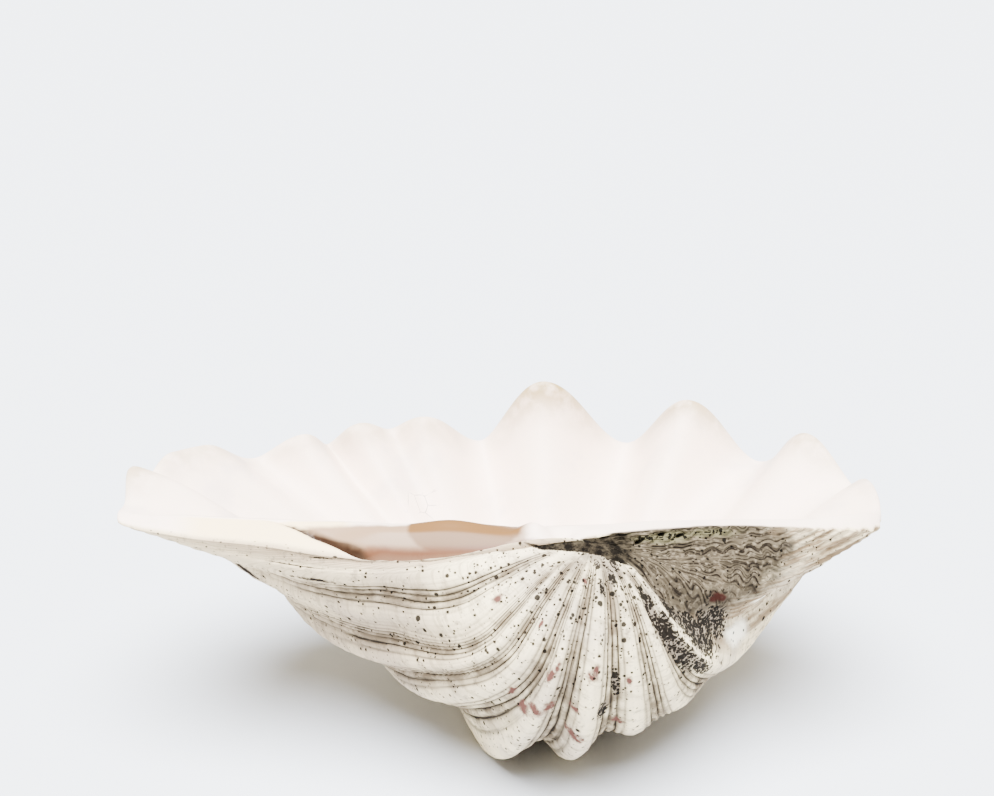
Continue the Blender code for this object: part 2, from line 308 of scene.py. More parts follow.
def outside(around, share):
    """The outside at the given places round the margin and shares of the growth."""
    size = sizes(around, share)
    push = np.empty(size.shape)
    for r, at in enumerate(middle_sizes(share)):
        places, grown = fold_places(at)
        push[r] = through(around, places, folds(HALF_SWELL) * (1 - grown) + folds(GROWN_SWELL) * grown)
    push = push * size
    for place, at, height, half_round, half_along in BULGES:
        push += height * hill(around, place, half_round) * hill(size, at, half_along)
    plain = grow(size, closed_curve(MARGIN, around))
    return plain + outward(plain) * push[..., None], size


net_around = np.arange(NET_COLUMNS) / NET_COLUMNS
net_skin, _ = outside(net_around, np.linspace(0, 1, NET_OUTSIDE) ** ROW_CROWDING)
print("coarse outside:", net_skin.shape)


# %% [markdown]
# The rim
#
# At the free edge the rim is a thin rounded lip. On the hinge side it broadens into the
# plate, with the groove of the ligament and the teeth on it.


# %% Draw the rim inside the outer edge
def tips():
    """Where round the margin the back tip and the front corner lie."""
    shares = np.linspace(0, 1, MARGIN_SAMPLES)
    x = closed_curve(MARGIN, shares % 1.0)[:, 0]
    return shares[x.argmin()], shares[x.argmax()]


def inner_edge(rows, around):
    """Where the hollow begins, and how much of each place is free edge."""
    back, front = tips()
    edge = rows[-1]
    x = edge[:, 0]
    free = ease(around - back, *BACK_TURN) * (1 - ease(around - front, *FRONT_TURN))
    plate_y = edge[:, 1] + read_off(x, PLATE_WIDTH)
    plate = np.stack([x * PLATE_DRAWN_IN, plate_y, read_off(x, PLATE_HEIGHT)], axis=-1)
    lip = edge - outward(rows)[-1] * LIP
    return plate * (1 - free[:, None]) + lip * free[:, None], free


def rim(rows, around, share):
    """The rows from the outer edge over the lip or the hinge plate, and the inner edge."""
    inner, free = inner_edge(rows, around)
    edge = rows[-1]
    x = edge[:, 0]
    growing = edge - rows[-2]
    growing = growing / np.linalg.norm(growing, axis=-1, keepdims=True)
    share = share[:, None]
    top = edge + (inner - edge) * share[..., None]
    top = top + growing * (LIP * LIP_ROUND * np.sin(pi * share) * free)[..., None]
    hinge = (1 - free) * ease(x, *HINGE_BACK) * (1 - ease(x, *HINGE_FRONT))
    relief = (inner[:, 2] - edge[:, 2]) * ease(x, *RAISED) * (ease(share, *CLIMB) - share)
    groove = hill(share, read_off(x, GROOVE_AT), read_off(x, GROOVE_WIDTH))
    relief = relief - read_off(x, GROOVE_DEPTH) * groove
    for tooth_x, half_length, height, place, half_width in TEETH:
        relief = relief + height * hill(x, tooth_x, half_length) * hill(share, place, half_width)
    top[..., 2] += relief * hinge
    return top, inner


net_inner, net_free = inner_edge(net_skin, net_around)
print("share of free edge:", round(float(net_free.mean()), 3))


# %% [markdown]
# The hollow
#
# The hollow runs from the rim down to its deepest point. Rays sent up from below find the
# outside, and the hollow is lifted off it until the wall is thick enough everywhere.


# %% Sink the hollow
def even_out(values):
    """Values round the valve with their folds smoothed away."""
    for _ in range(PLAIN_TIMES):
        values = (np.roll(values, 1, axis=0) + 2 * values + np.roll(values, -1, axis=0)) / 4
    return values


def swollen(lift):
    """A soft cover over every bump of a lift, which is nowhere lower than the lift."""
    wide = lift
    for _ in range(LIFT_SPREAD):
        wide = np.maximum(wide, np.maximum(np.roll(wide, 1, axis=1), np.roll(wide, -1, axis=1)))
        inside = np.maximum(wide[:-1], wide[1:])
        wide = np.maximum(wide, np.concatenate([wide[:1], inside]))
    for _ in range(LIFT_SPREAD):
        wide = (np.roll(wide, 1, axis=1) + 2 * wide + np.roll(wide, -1, axis=1)) / 4
    return wide


def skin_tree(rows):
    """The outside as faces that a ray can meet."""
    count = rows.shape[1]
    faces = []
    for r in range(len(rows) - 1):
        for c in range(count):
            beside = (c + 1) % count
            faces.append((r * count + c, r * count + beside, (r + 1) * count + beside, (r + 1) * count + c))
    return BVHTree.FromPolygons(rows.reshape(-1, 3).tolist(), faces)


net_tree = skin_tree(net_skin)
print("faces that a ray can meet:", (NET_OUTSIDE - 1) * NET_COLUMNS)


# %% Lift the hollow off the outside
def hollow(inner, skin):
    """The rows from the rim down to the deepest point, never thinner than the least wall."""
    deepest = np.array(DEEPEST)
    plain = even_out(inner)
    reach = plain[:, :2] - deepest[:2]
    angle = np.degrees(np.arctan2(reach[:, 1], reach[:, 0]))
    share = 1 - np.linspace(0, 1, NET_HOLLOW + 1)[:-1, None] ** WALL_CROWDING
    down = np.empty((NET_HOLLOW, len(inner), 3))
    down[..., :2] = deepest[:2] + reach * share[..., None]
    down[..., 2] = deepest[2] + (plain[:, 2] - deepest[2]) * share ** read_off(angle, FULLNESS)
    down += (inner - plain) * (share ** FOLD_FADE)[..., None]
    lift = np.zeros((NET_HOLLOW, len(inner)))
    for r in range(1, NET_HOLLOW):
        wall = LEAST_WALL + (FLOOR_WALL - LEAST_WALL) * (1 - share[r, 0])
        for c in range(len(inner)):
            x, y, z = down[r, c]
            hit, normal, _, _ = skin.ray_cast((x, y, BELOW), (0, 0, 1))
            if hit is not None:
                lift[r, c] = max(hit.z + wall / max(abs(normal.z), STEEPEST) - z, 0)
    down[..., 2] += swollen(lift)
    return down, deepest


net_hollow, net_deepest = hollow(net_inner, net_tree)
net_floor = np.broadcast_to(net_deepest, (1, NET_COLUMNS, 3))
net = np.concatenate([net_hollow, net_floor])
print("the hollow:", net.shape)

# %% [markdown]
# The fine grid
#
# Now the columns and rows of the dressed valve. They stand closest where the surface has
# the most to show: on the ribs below the beak, and on the crinkled front side.

# %% Places of the fine columns and rows
STRETCHES = ((0.00, 56), (0.20, 100), (0.42, 196), (0.78, 36), (0.84, 140), (1.00, 0))
OUTSIDE_ROWS = 124
RIM_ROWS = 24
HOLLOW_ROWS = 38

around = np.concatenate([
    np.linspace(start, end, count, endpoint=False)
    for (start, count), (end, _) in zip(STRETCHES, STRETCHES[1:])
])
COLUMNS = len(around)
skin_share = np.linspace(0, 1, OUTSIDE_ROWS) ** ROW_CROWDING
rim_share = np.linspace(0, 1, RIM_ROWS + 2)[1:-1]
hollow_share = np.linspace(0, 1, HOLLOW_ROWS + 1)
print("columns:", COLUMNS, "rows:", OUTSIDE_ROWS + RIM_ROWS + HOLLOW_ROWS + 2)


# %% Read the hollow off the coarse net
def cubic(before, start, end, after, u):
    return start + 0.5 * u * (end - before + u * (2 * before - 5 * start + 4 * end - after
                                                  + u * (3 * (start - end) + after - before)))


def between_columns(rows, at):
    """A closed coarse net at any place round the valve."""
    count = rows.shape[1]
    i = np.floor(at * count).astype(int)
    u = (at * count - i)[:, None]
    return cubic(*(rows[:, (i + k) % count] for k in (-1, 0, 1, 2)), u)


def between_rows(rows, at):
    """A net at any place along its rows."""
    last = len(rows) - 1
    i = np.minimum(np.floor(at).astype(int), last - 1)
    u = (at - i)[:, None, None]
    return cubic(*(rows[np.clip(i + k, 0, last)] for k in (-1, 0, 1, 2)), u)


hollow_rows = between_rows(between_columns(net, around), hollow_share * NET_HOLLOW)
print("fine hollow:", hollow_rows.shape)

# %% [markdown]
# Fine relief
#
# The plain model stops at the big folds. The real shell also has riblets in the grooves,
# low steps where growth paused, a front side crinkled like paper, a thin ridge along the
# last rib, worn, porous patches beside it, and a few holes by the hinge. Each is a push along
# the surface's normal. The threads, the layers of growth and the patches are kept as masks
# for the material.

# %% Follow the folds over the outside
skin, size = outside(around, skin_share)
course = np.empty(size.shape)
groove = np.empty(size.shape)
for r, at in enumerate(middle_sizes(skin_share)):
    places, _ = fold_places(at)
    course[r] = np.interp(around, places, np.arange(len(places)))
    groove[r] = through(around, places, folds(GROOVE))

UMBO = (0.07, 0.16)
FAN_END = (0.716, 0.732)
LINES_WEAR = (0.52, 0.78)
LINES_LOST = 0.55
lines = groove * ease(size, *UMBO) * (1 - ease(around, *FAN_END))
lines = lines * (1 - LINES_LOST * ease(size, *LINES_WEAR))
print("share of the outside in lines:", round(float(lines.mean()), 3))

# %% [markdown]
# The front side
#
# In front of the beak the layers of growth come to the surface on edge, and they wave like
# the pages of a book that got wet. One number, layers, runs across them. A wave along x is
# added to it, so that they all bend together, and a slow wander keeps the wave uneven. The
# relief and the material both follow that number. Towards the free edge the waves give way
# to long flutes.

# %% The front side and its layers
FRONT_START = (0.735, 0.770)
FRONT_END = (0.985, 1.000)
WAVES = (
    (0.74, 0.0), (0.80, 2.2), (0.84, 5.2), (0.88, 9.4), (0.92, 14.8), (0.96, 20.6), (1.00, 26.4),
)
ACROSS = 3.35
RIPPLE = 0.050
RIPPLE_LENGTH = 0.027
RIPPLE_BEND = 1.5
RIPPLE_SWELL = (0.60, 0.40)
RIPPLE_FROM = (0.05, 0.30)
FLUTE_BEND = 1.7
WANDER = ((0.6, 5.3, 1.9), (0.4, 13.0, -2.7))
FRONT_LIMIT = (
    (0.78, 0.37), (0.80, 0.46), (0.84, 0.62), (0.865, 0.78),
    (0.88, 0.88), (0.905, 1.02), (0.93, 1.20),
)
LIMIT_SOFT = (-0.16, 0.16)

front_side = ease(around, *FRONT_START) * (1 - ease(around, *FRONT_END))
limit = read_off(around, FRONT_LIMIT)
crinkled = front_side * (1 - ease(size, limit + LIMIT_SOFT[0], limit + LIMIT_SOFT[1]))
wander = sum(
    height * np.sin(2 * pi * (round_turns * around + along_turns * size))
    for height, round_turns, along_turns in WANDER
)
ripple = np.cos(2 * pi * skin[..., 0] / RIPPLE_LENGTH + RIPPLE_BEND * wander)
ripple = ripple * (RIPPLE_SWELL[0] + RIPPLE_SWELL[1] * np.sin(2 * pi * (11 * around + 3.1 * size)))
flutes = np.cos(2 * pi * curve_off(around, WAVES) + FLUTE_BEND * wander)
layers = ACROSS * around + size + RIPPLE * ripple * crinkled * ease(size, *RIPPLE_FROM)
print("share of the outside crinkled:", round(float(crinkled.mean()), 3))


# %% Worn patches: place, size, half width round, half width along
def spots(patches):
    """Soft spots that grow into one another."""
    whole = np.zeros(size.shape)
    for place, at, half_round, half_along in patches:
        whole = np.maximum(whole, hill(around, place, half_round) * hill(size, at, half_along))
    return whole


POROUS = (
    (0.700, 0.200, 0.020, 0.045), (0.710, 0.255, 0.020, 0.045), (0.716, 0.310, 0.016, 0.050),
    (0.724, 0.370, 0.010, 0.040), (0.762, 0.345, 0.022, 0.080), (0.785, 0.415, 0.020, 0.055),
    (0.752, 0.240, 0.013, 0.060), (0.580, 0.320, 0.007, 0.022), (0.560, 0.370, 0.009, 0.014),
    (0.595, 0.130, 0.016, 0.024), (0.530, 0.100, 0.014, 0.014), (0.640, 0.085, 0.030, 0.024),
    (0.545, 0.165, 0.010, 0.018),
)
OLIVE = ((0.960, 0.880, 0.022, 0.090), (0.935, 0.930, 0.018, 0.060), (0.990, 0.965, 0.012, 0.030))
HOLES = ((0.971, 0.829, 0.0024, 0.036), (0.950, 0.906, 0.0022, 0.026), (0.962, 0.930, 0.0018, 0.020))
RUST = ((0.825, 0.428, 0.0085, 0.028), (0.8185, 0.405, 0.006, 0.016))
PINK = (
    (0.477, 0.330, 0.006, 0.012), (0.484, 0.316, 0.004, 0.010), (0.4375, 0.385, 0.006, 0.012),
    (0.460, 0.400, 0.010, 0.009), (0.475, 0.387, 0.012, 0.009), (0.488, 0.377, 0.009, 0.008),
    (0.535, 0.312, 0.009, 0.009), (0.541, 0.302, 0.006, 0.008), (0.527, 0.415, 0.016, 0.008),
    (0.600, 0.310, 0.006, 0.010), (0.4875, 0.158, 0.010, 0.008), (0.329, 0.263, 0.007, 0.013),
    (0.585, 0.400, 0.010, 0.008), (0.430, 0.262, 0.004, 0.010), (0.520, 0.372, 0.010, 0.006),
)
SMEARS = (
    (0.254, 0.603, 0.0035, 0.050), (0.294, 0.784, 0.0035, 0.040), (0.222, 0.700, 0.0030, 0.070),
    (0.150, 0.880, 0.010, 0.020), (0.175, 0.800, 0.006, 0.030),
)
GLOSS = ((0.767, 0.513, 0.014, 0.050), (0.800, 0.600, 0.010, 0.040))
porous = spots(POROUS)
olive = spots(OLIVE)
holes = spots(HOLES)
print("patches:", sum(len(kind) for kind in (POROUS, OLIVE, HOLES, RUST, PINK, SMEARS, GLOSS)))

# %% Relief of the outside
THREADS = 3.5
RIBLET = 0.0034
PAUSES = 30
PAUSE = 0.0012
PAUSE_RISE = (0.0, 0.8)
PAUSE_DROP = (0.85, 1.0)
PAUSE_SWAY = 0.35
PAUSE_SWAYS = 9
PAUSES_SHOW = (0.45, 0.85)
PAUSE_LEAST = 0.15
CRINKLE = 0.0030
FLUTE = 0.7
LEDGES = 8.0
LEDGE = 0.0022
LEDGE_RISE = (0.0, 0.75)
LEDGE_DROP = (0.80, 1.0)
RIDGE_COURSE = ((0.03, 0.712), (0.20, 0.724), (0.32, 0.731), (0.45, 0.735), (0.60, 0.738))
RIDGE_HALF = 0.0042
RIDGE = 0.0130
RIDGE_ALONG = (0.25, 0.19)
WORN_IN = 0.0035
HOLE = 0.0080

riblets = np.cos(2 * pi * THREADS * course) * lines * size * RIBLET
crinkles = (ripple * crinkled + FLUTE * flutes * (1 - crinkled)) * front_side * size * CRINKLE
ledge_phase = (layers * LEDGES) % 1
ledges = ease(ledge_phase, *LEDGE_RISE) * (1 - ease(ledge_phase, *LEDGE_DROP))
ledges = LEDGE * size * crinkled * ledges
pause_phase = (size * PAUSES + PAUSE_SWAY * np.sin(2 * pi * PAUSE_SWAYS * around)) % 1
pauses = ease(pause_phase, *PAUSE_RISE) * (1 - ease(pause_phase, *PAUSE_DROP))
pauses = PAUSE * pauses * (PAUSE_LEAST + (1 - PAUSE_LEAST) * ease(size, *PAUSES_SHOW))
ridge = RIDGE * size * hill(around, read_off(size, RIDGE_COURSE), RIDGE_HALF) * hill(size, *RIDGE_ALONG)
relief = riblets + crinkles + ledges + pauses + ridge - WORN_IN * size * porous - HOLE * holes
relief_mm = relief * LENGTH * 1000
print("relief in mm:", round(float(relief_mm.min()), 2), "to", round(float(relief_mm.max()), 2))

# %% Put the outside, the rim and the hollow together
FADE_ROWS = 10
RELIEF_FADE = (0.0, 0.7)
top, inner = rim(skin, around, rim_share)
raised = outward(skin) * relief[..., None]
skin = skin + raised
top = top + raised[-1] * (1 - ease(rim_share, *RELIEF_FADE))[:, None, None]
fade = 1 - ease(np.arange(HOLLOW_ROWS + 1), 0, FADE_ROWS)
hollow_rows = hollow_rows + (inner - hollow_rows[0]) * fade[:, None, None]
tip = np.broadcast_to(skin[0].mean(axis=0), (1, COLUMNS, 3))
rows = np.concatenate([tip, skin, top, hollow_rows])

x, y, z = np.moveaxis(rows * LENGTH, -1, 0)
y, z = y * cos(REST_TILT) + z * sin(REST_TILT), z * cos(REST_TILT) - y * sin(REST_TILT)
rows = np.stack([x + BEAK[0], y + BEAK[1], np.maximum(z + BEAK[2], 0)], axis=-1)
print("rows and columns:", rows.shape[:2])

# %% [markdown]
# Masks
#
# The material has to know where it is: outside or inside, in a groove or on the crinkled
# front, on the hinge plate or on a lobe. Each of these is a number on every point. Most of
# those of the outside come with the relief. The crevice above the beak gets painted shade,
# over some dark shell, in a band of the finished shape: seen along a slope, it lies between
# two heights over the beak. Those of the hinge plate follow x, and the share of the way over
# the plate from its outer edge to the hollow.

# %% Where the outside ends
RIM_EDGE = (0.03, 0.30)
last = len(rows) - 1
rim_start = 1 + OUTSIDE_ROWS
rim_rows = slice(rim_start, rim_start + RIM_ROWS)


def window(x, start, full, fading, end):
    """1 between full and fading, and 0 before start and after end."""
    return ease(x, start, full) * (1 - ease(x, fading, end))


def on_skin(values):
    """Values of the outside, carried on over the rim and the hollow."""
    whole = np.empty(rows.shape[:2])
    whole[0] = values[0]
    whole[1:rim_start] = values
    whole[rim_start:] = values[-1]
    return whole


outer = np.zeros(rows.shape[:2])
outer[:rim_start] = 1
outer[rim_rows] = 1 - ease(rim_share[:, None], *RIM_EDGE)
print("share of the grid outside:", round(float(outer.mean()), 3))

# %% Where pits, grey and beige lie
PITS_LEAST = 0.55
PITS_UMBO = 0.95
PITS_OLD = (0.14, 0.40)
PITS_FRONT = 0.90
PITS_FLANK = (0.75, 0.34, 0.07, 0.42, 0.16)
UMBO_AROUND = (0.30, 0.40, 0.76, 0.80)
UMBO_SIZE = (0.10, 0.30)
FLANKS = ((0.55, (0.33, 0.46), (0.25, 0.45)), (0.80, (0.195, 0.235), (0.22, 0.34)))

pitted = PITS_LEAST + PITS_UMBO * (1 - ease(size, *PITS_OLD))
most, middle, half_round, at, half_along = PITS_FLANK
pitted = np.maximum(pitted, most * hill(around, middle, half_round) * hill(size, at, half_along))
pitted = pitted * (1 - (1 - PITS_FRONT) * crinkled)
umbo = (1 - ease(size, *UMBO_SIZE)) * window(around, *UMBO_AROUND)
flank = np.zeros(size.shape)
for most, end_round, from_size in FLANKS:
    flank = np.maximum(flank, most * (1 - ease(around, *end_round)) * ease(size, *from_size))
print("most pits:", round(float(pitted.max()), 2))

# %% Painted shade in the crevice above the beak
CREVICE_SLOPE = radians(18)
CREVICE_FROM = (
    (0.010, 0.0000), (0.028, -0.0073), (0.045, -0.0075),
    (0.060, -0.0085), (0.076, -0.0110), (0.101, -0.0200),
)
CREVICE_TO = (
    (0.010, 0.0010), (0.028, -0.0036), (0.041, -0.0014),
    (0.056, 0.0000), (0.076, 0.0012), (0.090, 0.0045),
)
CREVICE_SOFT = 0.0012
CREVICE_X = (0.008, 0.022, 0.090, 0.112)
CREVICE_BACK = (-0.110, -0.090)

skin_x, skin_y, skin_z = np.moveaxis(rows[1:rim_start], -1, 0)
lift = (skin_z - BEAK[2]) * cos(CREVICE_SLOPE) + (skin_y - BEAK[1]) * sin(CREVICE_SLOPE)
crevice_shade = ease(lift - read_off(skin_x, CREVICE_FROM), 0, CREVICE_SOFT)
crevice_shade *= 1 - ease(lift - read_off(skin_x, CREVICE_TO), 0, CREVICE_SOFT)
crevice_shade *= window(skin_x, *CREVICE_X) * (1 - ease(skin_y, *CREVICE_BACK))
print("points in the crevice:", int((crevice_shade > 0.5).sum()))

# %% Masks of the outside
masks = {
    "outer": outer,
    "crevice_shade": on_skin(crevice_shade) * outer,
    "umbo": on_skin(umbo) * outer,
    "flank": on_skin(flank) * outer,
    "course": on_skin(course),
    "growth": on_skin(size),
    "layers": on_skin(layers),
    "lines": on_skin(lines) * outer,
    "crinkled": on_skin(crinkled) * outer,
    "front_side": on_skin(np.broadcast_to(front_side, size.shape)) * outer,
    "pitted": on_skin(pitted) * outer,
    "porous": on_skin(porous) * outer,
    "olive": on_skin(olive),
    "holes": on_skin(holes) * outer,
    "rust": on_skin(spots(RUST)) * outer,
    "pink": on_skin(spots(PINK)) * outer,
    "gloss": on_skin(spots(GLOSS)) * outer,
    "smears": on_skin(spots(SMEARS)) * outer,
}
print("masks of the outside:", len(masks))


# %% Painted shade in the slit of the hinge plate
def on_plate(along, across):
    """A mask of the plate: how far along x, and how far over its width."""
    whole = np.zeros(rows.shape[:2])
    share = rim_share[:, None]
    whole[rim_rows] = window(plate_x, *along) * window(share, *across) * hinge_side
    return whole


back, front = tips()
hinge_side = 1 - ease(around - back, *BACK_TURN) * (1 - ease(around - front, *FRONT_TURN))
plate_x = (rows[rim_rows, :, 0] - BEAK[0]) / LENGTH
SLIT_REACH = ((-0.43, 0.10), (-0.40, 0.13), (-0.36, 0.16), (-0.325, 0.17), (-0.30, 0.14))
SLIT_NEAR = (-0.10, -0.04)
SLIT_FULL = 0.25
SLIT_X = (-0.44, -0.41, -0.315, -0.280)
BEHIND = (-0.04, 0.05)
slit_shade = np.zeros(rows.shape[:2])
past_slit = rim_share[:, None] - read_off(plate_x, GROOVE_AT)
reach = read_off(plate_x, SLIT_REACH)
slit_shade_line = ease(past_slit, *SLIT_NEAR) * (1 - ease(past_slit, SLIT_FULL * reach, reach))
slit_shade[rim_rows] = slit_shade_line * window(plate_x, *SLIT_X) * hinge_side
behind_slit = np.ones(rows.shape[:2])
behind_slit[rim_rows] = ease(past_slit, *BEHIND)
print("points in the slit:", int((slit_shade > 0.5).sum()))

# %% The pad of the hinge plate
PAD_CENTRE = (-0.167, 0.63)
PAD_HALF = (0.083, 0.38)
PAD_EDGE = (0.65, 1.15)
PAD_ROUND = 3
pad = np.zeros(rows.shape[:2])
from_pad = np.abs((plate_x - PAD_CENTRE[0]) / PAD_HALF[0]) ** PAD_ROUND
from_pad = from_pad + np.abs((rim_share[:, None] - PAD_CENTRE[1]) / PAD_HALF[1]) ** PAD_ROUND
pad[rim_rows] = (1 - ease(from_pad, *PAD_EDGE)) * hinge_side
print("points on the pad:", int((pad > 0.5).sum()))

# %% Masks of the inside, the plate and the lobes
HAIRS_PLACE = (-0.080, 0.126, 0.145)
HAIRS_REACH = 0.026
from_hairs = np.linalg.norm(rows - np.array(HAIRS_PLACE), axis=-1)
hairs = (1 - outer) * (1 - ease(from_hairs, 0.5 * HAIRS_REACH, HAIRS_REACH))

LOBE_MOST = 0.066
AT_MARGIN = (0.90, 1.00)
AT_LIP = 0.14
lobe = through(around, folds(GROWN_PLACE), folds(LOBE)) / LOBE_MOST
near_margin = np.concatenate([
    np.zeros((1, COLUMNS)), ease(size / size[-1], *AT_MARGIN), np.ones((RIM_ROWS, COLUMNS)),
    np.repeat(1 - ease(hollow_share, 0.0, AT_LIP)[:, None], COLUMNS, axis=1),
])
masks.update({
    "cream": on_plate((-0.62, -0.50, -0.36, -0.30), (0.02, 0.12, 0.85, 1.0)),
    "rosy": on_plate((-0.43, -0.38, -0.10, -0.06), (0.06, 0.16, 0.60, 0.90)) * behind_slit,
    "tan": pad,
    "hairs": hairs,
    "salmon": on_plate((-0.350, -0.300, -0.085, -0.045), (0.02, 0.08, 0.24, 0.40)) * behind_slit,
    "slit_shade": slit_shade,
    "tips": near_margin * np.clip(lobe, 0, 1),
})
for name, values in masks.items():
    print(name, round(float(values.min()), 3), "to", round(float(values.max()), 3))

# %% [markdown]
# Roll the grid up
#
# A grid primitive brings its own UV map: U runs round the valve and V along its growth.
# Every point is sent to its place, then the seam and the two poles are merged, and the
# faces are turned outwards.

# %% Make the valve from a grid
MERGE = 1e-6
bpy.ops.object.select_all(action="DESELECT")
bpy.ops.mesh.primitive_grid_add(x_subdivisions=COLUMNS, y_subdivisions=last, size=1, calc_uvs=True)
valve = bpy.context.object
valve.name = "valve"
valve.data.name = "valve"
flat_places = np.empty(len(valve.data.vertices) * 3)
valve.data.vertices.foreach_get("co", flat_places)
flat_places = flat_places.reshape(-1, 3)
column = np.rint((flat_places[:, 0] + 0.5) * COLUMNS).astype(int) % COLUMNS
row = np.rint((flat_places[:, 1] + 0.5) * last).astype(int)
valve.data.vertices.foreach_set("co", rows[row, column].ravel())
for name, values in masks.items():
    attribute = valve.data.attributes.new(name, "FLOAT", "POINT")
    attribute.data.foreach_set("value", values[row, column].astype(np.float32))
valve.data.update()

bpy.ops.object.mode_set(mode="EDIT")
bpy.ops.mesh.select_all(action="SELECT")
bpy.ops.mesh.remove_doubles(threshold=MERGE)
bpy.ops.mesh.normals_make_consistent(inside=False)
bpy.ops.object.mode_set(mode="OBJECT")
bpy.ops.object.shade_smooth()
print("points:", len(valve.data.vertices), "faces:", len(valve.data.polygons))

# %% [markdown]
# Worn unevenness
#
# No stretch of an old shell is quite even. A Displace modifier with a cloud texture moves
# the outside by less than a millimetre. A vertex group keeps it off the hollow and off the
# places that touch the ground.

# %% Displace the outside a little
CLOUD = 0.022
UNEVEN = 0.0016
GROUND_CLEAR = 0.012
LEVELS = 4

outside_group = valve.vertex_groups.new(name="outside")
weight = np.empty(len(valve.data.vertices), dtype=np.float32)
valve.data.attributes["outer"].data.foreach_get("value", weight)
heights = np.empty(len(valve.data.vertices) * 3, dtype=np.float32)
valve.data.vertices.foreach_get("co", heights)
weight = weight * ease(heights.reshape(-1, 3)[:, 2], 0.0, GROUND_CLEAR)
steps = np.rint(weight * LEVELS).astype(int)
for step in range(1, LEVELS + 1):
    outside_group.add(np.flatnonzero(steps == step).tolist(), step / LEVELS, "REPLACE")

clouds = bpy.data.textures.new("worn_clouds", "CLOUDS")
clouds.noise_scale = CLOUD
clouds.noise_depth = 3
uneven = valve.modifiers.new("unevenness", "DISPLACE")
uneven.texture = clouds
uneven.texture_coords = "LOCAL"
uneven.strength = UNEVEN
uneven.mid_level = 0.5
uneven.vertex_group = "outside"
bpy.ops.object.modifier_apply(modifier=uneven.name)
print("points displaced:", int((steps > 0).sum()))

# %% [markdown]
# Shader helpers
#
# The material is built from small groups with named sockets: pits, groove lines and growth
# lines. Each is made once, and the material places it with its own values. A few helpers
# keep the wiring short.


# %% Helpers for nodes
def node(tree, kind, at=(0, 0), **settings):
    made = tree.nodes.new(kind)
    made.location = at
    for key, value in settings.items():
        setattr(made, key, value)
    return made


def wire(tree, source, target):
    tree.links.new(source, target)


def feed(tree, target, value):
    """A socket takes a link, or a plain value."""
    if isinstance(value, bpy.types.NodeSocket):
        tree.links.new(value, target)
    else:
        target.default_value = value


def math(tree, operation, *values):
    made = node(tree, "ShaderNodeMath", operation=operation)
    for target, value in zip(made.inputs, values):
        feed(tree, target, value)
    return made.outputs[0]


def step_between(tree, value, start, end, low=0.0, high=1.0):
    """A smooth step from low to high as value goes from start to end."""
    made = node(tree, "ShaderNodeMapRange", interpolation_type="SMOOTHSTEP")
    for name, setting in (("Value", value), ("From Min", start), ("From Max", end),
                          ("To Min", low), ("To Max", high)):
        feed(tree, made.inputs[name], setting)
    return made.outputs["Result"]


print("wiring helpers ready")


# %% Helpers for colours and noises
def blend(tree, share, first, second):
    """One colour over another."""
    made = node(tree, "ShaderNodeMix", data_type="RGBA")
    feed(tree, made.inputs["Factor"], share)
    feed(tree, made.inputs[6], first)
    feed(tree, made.inputs[7], second)
    return made.outputs[2]


def noise(tree, vector, scale, detail=4.0, roughness=0.55):
    made = node(tree, "ShaderNodeTexNoise")
    for name, setting in (("Vector", vector), ("Scale", scale), ("Detail", detail),
                          ("Roughness", roughness)):
        feed(tree, made.inputs[name], setting)
    return made.outputs["Fac"]


def joined(tree, first, second):
    """Two numbers as a place on a flat sheet."""
    made = node(tree, "ShaderNodeCombineXYZ")
    feed(tree, made.inputs[0], first)
    feed(tree, made.inputs[1], second)
    return made.outputs[0]


print("colour helpers ready")

# %% Helpers for node groups
NUMBER = "NodeSocketFloat"
VECTOR = "NodeSocketVector"


def new_group(name, inputs, outputs):
    """A node group with named sockets. Inputs are name, kind and default value."""
    group = bpy.data.node_groups.new(name, "ShaderNodeTree")
    for label, kind, value in inputs:
        socket = group.interface.new_socket(name=label, in_out="INPUT", socket_type=kind)
        if value is not None:
            socket.default_value = value
    for label, kind in outputs:
        group.interface.new_socket(name=label, in_out="OUTPUT", socket_type=kind)
    start = node(group, "NodeGroupInput", (-900, 0))
    end = node(group, "NodeGroupOutput", (900, 0))
    return group, start.outputs, end.inputs


def place_group(tree, group, values):
    made = node(tree, "ShaderNodeGroup", node_tree=group)
    for name, value in values.items():
        feed(tree, made.inputs[name], value)
    return made.outputs


print("group helpers ready")

# %% [markdown]
# Pits
#
# Boring sponges and worms leave round black pits of half a millimetre to four millimetres.
# A Voronoi texture gives one point to each cell, and the cell's random colour says whether
# it holds a pit and how large it is. A little noise bends the places, so no pit is a circle.

# %% The group for pits
PIT_BEND = 0.0012
PIT_BEND_SCALE = 260.0
PIT_SIZES = (0.35, 1.0)
PIT_EDGE = (0.75, 1.15)
pits, given, result = new_group(
    "pits",
    (("Vector", VECTOR, None), ("Cell", NUMBER, 0.006), ("Share", NUMBER, 0.4), ("Radius", NUMBER, 0.25)),
    (("Mask", NUMBER),),
)
bent = node(pits, "ShaderNodeTexNoise")
wire(pits, given["Vector"], bent.inputs["Vector"])
bent.inputs["Scale"].default_value = PIT_BEND_SCALE
offset = node(pits, "ShaderNodeVectorMath", operation="MULTIPLY_ADD")
wire(pits, bent.outputs["Color"], offset.inputs[0])
offset.inputs[1].default_value = (PIT_BEND,) * 3
wire(pits, given["Vector"], offset.inputs[2])
cells = node(pits, "ShaderNodeTexVoronoi", feature="F1")
wire(pits, offset.outputs[0], cells.inputs["Vector"])
wire(pits, math(pits, "DIVIDE", 1.0, given["Cell"]), cells.inputs["Scale"])
chance = node(pits, "ShaderNodeSeparateColor")
wire(pits, cells.outputs["Color"], chance.inputs[0])
held = math(pits, "LESS_THAN", chance.outputs[0], given["Share"])
wide = math(pits, "MULTIPLY", given["Radius"], step_between(pits, chance.outputs[1], 0.0, 1.0, *PIT_SIZES))
